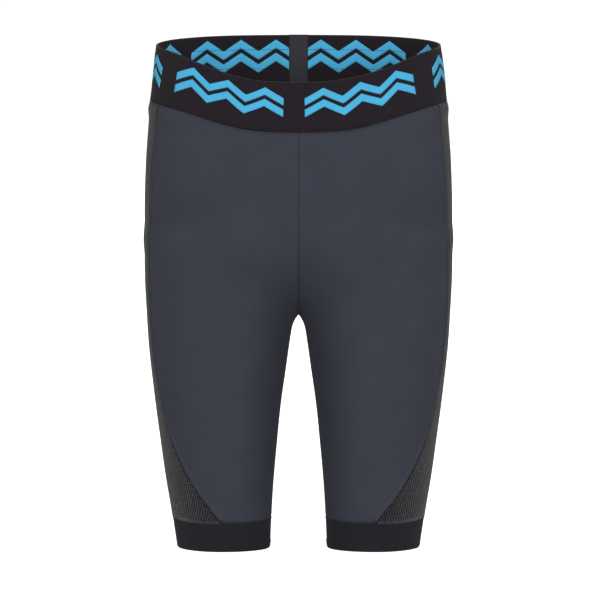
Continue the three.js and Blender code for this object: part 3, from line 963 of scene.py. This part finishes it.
selvedge = [(0.55 * mm, band_stand_off - 0.1 * mm), (0.55 * mm, band_inside + 0.1 * mm)]
selvedge_size = (2.6 * mm, 0.8 * mm, 0.5 * mm)
band_stitches("waistband_selvedge", selvedge, selvedge_size, 2.3 * mm, selvedge_thread)
guides = [(below, band_inside - 0.2 * mm) for below in (14.5 * mm, 33.5 * mm)]
guides += [(waistband_height - up, band_stand_off) for up in (1.6 * mm, 4.2 * mm)]
guide_size = (3.0 * mm, 0.8 * mm, 0.5 * mm)
band_stitches("waistband_guides", guides, guide_size, 3.1 * mm, guide_thread)


# ---- Waistband pattern ----
# Six blocks of a plain zigzag are woven into the elastic in bright blue yarn, two lines in
# each. They stand a hair proud of the band, outside and inside.

bright_weave = (1.5 * mm, 0.9 * mm)
bright_yarn = cloth_material("bright_yarn", linear(68, 160, 200), bright_weave, 0.05 * mm, mottle=0.05)
block_height = 33 * mm
zigzag_peaks = 3
zigzag_rise = 11.5 * mm
zigzag_width = 8.5 * mm
yarn_rise = 0.22 * mm


def zigzag(centre, block_width, block_top, foot, depth, rise_by):
    """One zigzag line of a block, its foot that far above the block's."""
    s = np.linspace(-0.5, 0.5, zigzag_peaks * 20 + 1) * block_width
    share = (s / block_width + 0.5) * zigzag_peaks
    up = foot + zigzag_rise * (1 - np.abs(2 * (share % 1) - 1))
    s, up = np.broadcast_arrays(centre + s, up + np.linspace(1, 0, 5)[:, None] * zigzag_width)
    p = round_waist(waist_angle(s), block_top + block_height - up)
    out = out_of(p, level=True)
    uv = np.stack([s, up], -1)
    return shell(p + out * (depth + rise_by), p + out * (depth - 0.4 * rise_by), uv)


def zigzag_block(centre, block_width, block_top, depth, rise_by):
    second = block_height - zigzag_rise - zigzag_width
    return [zigzag(centre, block_width, block_top, foot, depth, rise_by) for foot in (0, second)]


outer_centres = (-357 * mm, -222 * mm, -76 * mm, 67 * mm, 217 * mm, 357 * mm)
inner_centres = (-361 * mm, -236 * mm, -76 * mm, 67 * mm, 234 * mm, 361 * mm)
faces = {
    "outside": (outer_centres, 121 * mm, 7 * mm, band_stand_off, yarn_rise),
    "inside": (inner_centres, 112 * mm, 4.5 * mm, band_inside, -yarn_rise),
}
for place, (centres, *woven) in faces.items():
    shells = [part for centre in centres for part in zigzag_block(centre, *woven)]
    piece = sewn(f"waistband_pattern_{place}", shells, bright_yarn)
    rides(piece, "waistband")


# ---- Join cover ----
# A flat tape is sewn over the band's butt join, inside at the back centre, so that the
# ends don't rub. Two rows of stitches hold it.

cover_width = 20 * mm
cover_thickness = 0.8 * mm
layer_gap = 0.35 * mm
cover_tape = cloth_material("cover_tape", linear(49, 48, 53), (0.7 * mm, 0.7 * mm), 0.08 * mm)
cover_rows = np.linspace(waist_top + back_rise + 0.4 * mm, waist_seam + 3.5 * mm, 25)[:, None]
cover_across = np.linspace(-0.5, 0.5, 15)[None, :]
cover_grid = on_back(cover_across * cover_width, cover_rows)
cover_out = out_of(cover_grid, level=True)
cover_top = band_inside - layer_gap
thin = cover_thickness * (1 - 0.6 * (2 * np.abs(cover_across)) ** 8)
cover_shell = layer(cover_grid, cover_out, cover_top, cover_top - thin)
piece = sewn("waistband_join_cover_tape", [cover_shell], cover_tape)
rides(piece)
points, out, along = joined([stitch_row(cover_grid[:, k], stitch_pitch) for k in (1, -2)])
lifted = points + out * (cover_top - cover_thickness)
piece = copies("waistband_join_cover_stitches", lifted, out, along, stitch_size, tape_thread)
rides(piece)


# ---- Waist seam ----
# The overlocked seam that joins the band to the panels runs round the inside, just under
# the band, where its loops of thread can be seen from above.

waist_ridge_under = min(band_inside, -cloth_thickness) - seam_clearance
seam_top = waistband_height - seam_width / 2
waist_ridge = waist_ring(seam_top, seam_top + seam_width, 6, 300)
loops = band_line(waistband_height, 0, ring_loop_pitch)
ridged("waist_seam", waist_ridge, waist_ridge_under, loops, ring=True, level=True)


# ---- Cuffs ----
# A woven elastic cuff closes each leg, a little looser at its lower edge, which is turned
# up and rounded. Two rows of stitches hold the hem and one more runs along the join.

cuff_thickness = 1.6 * mm
cuff_edge = 0.75 * mm
cuff_sink = 0.1 * mm
hem_pitch = 2.9 * mm
hem_lift = 0.05 * mm
cuff_elastic = cloth_material("cuff_elastic", linear(26, 25, 31), (1.1 * mm, 0.8 * mm), 0.10 * mm)
cuff_thread = thread("cuff_thread", 38, 37, 44)
cuff_steps = 200
cuff_rows = 22


def round_leg(angle, z):
    """Points round the left leg: 0 is the front and 90 degrees the outside."""
    return cast(leg_centre(z), leg_middle(z), z, np.sin(angle), -np.cos(angle))


def leg_ring(first, last, rows, steps):
    angle = np.arange(steps) * 2 * np.pi / steps
    return round_leg(angle[None, :], np.linspace(first, last, rows + 1)[:, None])


cuff_grid = leg_ring(cuff_height, 0, cuff_rows, cuff_steps)
down = np.linspace(0, cuff_height, cuff_rows + 1)[:, None]
angle = np.arange(cuff_steps)[None, :] * 2 * np.pi / cuff_steps
wave_height = 0.5 * mm
wave = wave_height * (down / cuff_height) ** 2 * np.sin(5 * angle + 0.7)
draw = rounded_edge(down, cuff_height, cuff_edge)
cuff_out = out_of(cuff_grid, level=True)
cuff_shell = layer(
    cuff_grid, cuff_out, wave - draw - cuff_sink, wave + draw - cuff_thickness, ring=True
)
once_round = np.linspace(0, 2 * np.pi, 120)
row_heights = (4.2 * mm, 6.4 * mm, cuff_height - 2 * mm)
points, out, along = joined([stitch_row(round_leg(once_round, z), hem_pitch) for z in row_heights])
for label, side in legs:
    piece = sewn(f"leg_cuff_{label}_elastic", [cuff_shell], cuff_elastic, side)
    rides(piece)
    lifted = points + out * hem_lift
    piece = copies(f"leg_cuff_{label}_stitches", lifted, out, along, stitch_size, cuff_thread, side)
    rides(piece)


# ---- Cuff seams ----
# The same overlocked ridge of folded cloth joins each cuff to the panels, on the inside,
# level with the cuff's upper edge.

cuff_ridge = leg_ring(cuff_height + seam_width / 2, cuff_height - seam_width / 2, 6, 120)
cuff_loops = stitch_row(round_leg(once_round, cuff_height), ring_loop_pitch)
cuff_ridge_under = -cuff_thickness - seam_clearance
for label, side in legs:
    name = f"cuff_seam_{label}"
    ridged(name, cuff_ridge, cuff_ridge_under, cuff_loops, side, ring=True, level=True)


# ---- Cuff grips ----
# A strip of dark silicone inside each cuff keeps it from riding up. Small round beads
# stand on it in three staggered rows.

grip_width = 12 * mm
grip_rise = 6 * mm
grip_outside = -cuff_thickness - layer_gap
grip_thickness = 0.6 * mm
grip_silicone = cloth_material(
    "grip_silicone", linear(34, 34, 38), (4 * mm, 4 * mm), 0.01 * mm, roughness=0.38, sheen=0.0
)
bead_size = (2.6 * mm, 2.6 * mm, 0.8 * mm)
bead_pitch = 4.2 * mm
grip_grid = leg_ring(grip_rise + grip_width, grip_rise, 8, 120)
grip_out = out_of(grip_grid, level=True)
grip_inside = grip_outside - 0.6 * grip_thickness  # the beads stand on it
grip_shell = layer(grip_grid, grip_out, grip_outside, grip_inside, ring=True)
bead_rows = []
for row in range(3):
    level = grip_rise + grip_width * (row + 0.5) / 3
    start = np.pi / 60 * (row % 2)
    bead_rows.append(stitch_row(round_leg(start + once_round, level), bead_pitch))
points, out, along = joined(bead_rows)
for label, side in legs:
    piece = sewn(f"cuff_grip_{label}_strip", [grip_shell], grip_silicone, side)
    rides(piece)
    lifted = points + out * (grip_outside - 0.55 * grip_thickness)
    piece = copies(f"cuff_grip_{label}_beads", lifted, out, along, bead_size, grip_silicone, side)
    rides(piece)


# ---- Impact pads and their pockets ----
# Moulded foam pads guard the hips, the thighs and the tailbone, in cells that let them bend.
# Each lies against the panel under a thin wicking lining, sewn down round it and along the
# cells. Air pressure in a cloth simulation swells the cells between the held stitches.

pocket_border = 8 * mm
pocket_spacing = 10 * mm
lining_thickness = 0.7 * mm
pad_edge = 2.5 * mm
pad_bevel = 26 * mm
leg_radius = 88 * mm
pad_cell = 3 * mm
channel_depth = 0.55  # of the pad's own depth there
channel_width = 2.4 * mm
held_width = 1.6 * mm  # of a channel, sewn down
corner_rounding = 0.42  # 0 leaves a rectangle
foam_inset = 3  # grid cells in from the lining's edge
foam_gap = 0.35 * mm  # under the lining
least_foam = 0.3 * mm
lining_lift = 0.8 * mm
lining_slack = 0.2 * mm  # the simulation starts this much lower
lining_pitch = 3.0 * mm
sewn_border = 0.1  # the share of the border that stays up before it turns down
most_swell = 2.2 * mm
lining_knit = cloth_material("lining_knit", linear(30, 30, 34), (1.3 * mm, 1.3 * mm), 0.12 * mm)
lining_thread = thread("lining_thread", 70, 70, 78)
foam_grain = (2.2 * mm, 2.2 * mm)
pad_foam = cloth_material("pad_foam", linear(77, 79, 85), foam_grain, 0.10 * mm, roughness=0.9, sheen=0.0)

# `drop` is from the waist seam to the pocket, and `cells` are counted across and down.
hip = {"size": (118 * mm, 150 * mm), "thickness": 10 * mm, "drop": 30 * mm, "cells": (3, 4)}
thigh = {"size": (92 * mm, 118 * mm), "thickness": 8 * mm, "cells": (2, 3)}
thigh["drop"] = hip["drop"] + hip["size"][1] + 2 * pocket_border + pocket_spacing
tailbone = {"size": (84 * mm, 104 * mm), "thickness": 10 * mm, "drop": 23 * mm, "cells": (2, 3)}
hip["turn"], thigh["turn"] = np.radians(90), np.radians(82)  # round the leg from its front


def swollen(name, points, quads, held, frames=20):
    """Runs a cloth simulation with air pressure inside a closed mesh and gives its points."""
    mesh = bpy.data.meshes.new(name)
    mesh.from_pydata(points.tolist(), [], quads.tolist())
    cloth_piece = link(name, mesh, None)
    pins = cloth_piece.vertex_groups.new(name="held")
    pins.add(np.flatnonzero(held).tolist(), 1.0, "REPLACE")
    cloth = cloth_piece.modifiers.new("cloth", "CLOTH")
    cloth.settings.vertex_group_mass = "held"
    cloth.settings.use_pressure = True
    cloth.settings.uniform_pressure_force = 4
    cloth.settings.effector_weights.gravity = 0
    cloth.point_cache.frame_start = 1
    cloth.point_cache.frame_end = frames
    for frame_number in range(1, frames + 1):
        bpy.context.scene.frame_set(frame_number)
    made = cloth_piece.evaluated_get(bpy.context.evaluated_depsgraph_get()).data
    moved = np.array([list(vertex.co) for vertex in made.vertices])
    bpy.data.objects.remove(cloth_piece)
    bpy.context.scene.frame_set(1)
    return moved


def rounding(t):
    return np.sqrt(1 - corner_rounding * t**2)


def pad_pieces(name, pad, place, lift, sides):
    """A pad, its lining and the stitches, `lift` further in from the panel than usual."""
    width, height = pad["size"]
    centre = waist_seam - pad["drop"] - pocket_border - height / 2
    half = np.array([width / 2 + pocket_border, height / 2 + pocket_border])
    columns, rows = (2 * half / pad_cell).astype(int)
    b, a = np.meshgrid(np.linspace(1, -1, rows + 1), np.linspace(-1, 1, columns + 1), indexing="ij")
    round_a, round_b = a * rounding(b), b * rounding(a)
    grid = place(round_a * half[0], centre + round_b * half[1])
    out = out_of(grid)
    past = np.maximum(np.abs(a) * half[0] - width / 2, np.abs(b) * half[1] - height / 2)
    thin = np.clip(1 + past / pad_bevel, 0, 1) ** 2
    full = lerp(pad["thickness"], pad_edge, thin)
    over_edge = np.clip((past / pocket_border - sewn_border) / (1 - sewn_border), 0, 1)
    down = over_edge**2 * (3 - 2 * over_edge)

    # The cells are laid like bricks, each row half a cell along from the last.
    across_cells, down_cells = pad["cells"]
    row = np.clip((1 - b) / 2 * down_cells, 0, down_cells - 1e-6)
    shift = (row.astype(int) % 2) / 2
    column = (a + 1) / 2 * across_cells + shift
    to_side = np.abs(column - np.round(column)) * 2 * half[0] / across_cells
    to_row = np.abs(row - np.round(row)) * 2 * half[1] / down_cells
    to_channel = np.minimum(to_side, to_row)
    groove = bell(to_channel / channel_width)
    top = -cloth_thickness - seam_clearance - lift
    depth = (full * lerp(1, channel_depth, groove) + lining_lift) * (1 - down)

    held = (past > 0) | (to_channel < held_width)
    start = grid + out * (top - depth - lining_slack)[..., None]
    back = grid + out * top
    points, quads, _ = shell(back, start, cloth_coordinates(grid))
    pinned = np.concatenate([np.ones(held.size, bool), held.ravel()])
    moved = swollen(f"{name}_swelling", points, quads, pinned)[held.size :].reshape(grid.shape)
    swell = np.clip(-((moved - start) * out).sum(-1), 0, most_swell)
    depth = depth + lining_slack + swell

    cover_top = top - depth
    lining = layer(grid, out, cover_top, cover_top - lining_thickness)
    inner = (slice(foam_inset, -foam_inset),) * 2
    foam_depth = np.maximum(depth[inner] - foam_gap, least_foam)
    foam = layer(grid[inner], out[inner], top - 0.1 * mm, top - foam_depth)

    # Stitches run along the pocket's border and the channels.
    lines = [grid[r, 3:-3] for r in (2, -3)] + [grid[3:-3, c] for c in (2, -3)]
    depths = [cover_top[r, 3:-3] for r in (2, -3)] + [cover_top[3:-3, c] for c in (2, -3)]
    for k in range(1, down_cells):
        r = round(k * rows / down_cells)
        lines.append(grid[r, 4:-4])
        depths.append(cover_top[r, 4:-4])
    for k in range(down_cells):
        first, last = round(k * rows / down_cells), round((k + 1) * rows / down_cells)
        first, last = max(first, 4), min(last, rows - 4)
        for j in range(1, across_cells + 1):
            share = (j - (k % 2) / 2) / across_cells
            c = round(share * columns)
            if 4 < c < columns - 4:
                lines.append(grid[first : last + 1, c])
                depths.append(cover_top[first : last + 1, c])
    sewn_rows = [
        stitch_row(line + out_of(line) * (level - lining_thickness)[:, None], lining_pitch)
        for line, level in zip(lines, depths)
    ]
    points, out_way, along = joined(sewn_rows)
    for side in sides:
        end = "" if len(sides) == 1 else "_left" if side == 1 else "_right"
        piece = sewn(f"{name}_pad{end}_foam", [foam], pad_foam, side)
        rides(piece)
        piece = sewn(f"{name}_pad_pocket{end}_lining", [lining], lining_knit, side)
        rides(piece)
        stitches = f"{name}_pad_pocket{end}_stitches"
        piece = copies(stitches, points, out_way, along, stitch_size, lining_thread, side)
        rides(piece)


def beside_leg(pad):
    return lambda across, z: round_leg(pad["turn"] + across / leg_radius, z)


pad_pieces("hip", hip, beside_leg(hip), 0, (1, -1))
pad_pieces("thigh", thigh, beside_leg(thigh), 0, (1, -1))
pad_pieces("tailbone", tailbone, on_back, seam_height + seam_clearance, (1,))


# ---- Care label ----
# A blank satin label hangs from the waist seam, inside the back, sewn in along its top.
# It curls a little away from the body towards its free end.

label_width = 24 * mm
label_length = 44 * mm
label_centre = 72 * mm
label_thickness = 0.4 * mm
label_gap = 1 * mm
label_curl = 0.8 * mm
label_start = waist_seam - 3 * mm
satin_weave = (0.4 * mm, 0.4 * mm)
label_satin = cloth_material(
    "label_satin", linear(226, 226, 224), satin_weave, 0.02 * mm, roughness=0.45, sheen=0.1, mottle=0.02
)
label_rows = np.linspace(label_start, label_start - label_length, 23)[:, None]
label_across = np.linspace(-0.5, 0.5, 13)[None, :]
label_grid = on_back(label_centre + label_across * label_width, label_rows)
label_out = out_of(label_grid, level=True)
curl = label_curl * np.linspace(0, 1, 23)[:, None] ** 2 * (1 - 2 * np.abs(label_across))
label_top = -(cloth_thickness + label_gap) - curl
label_shell = layer(label_grid, label_out, label_top, label_top - label_thickness)
piece = sewn("care_label_satin", [label_shell], label_satin)
rides(piece)
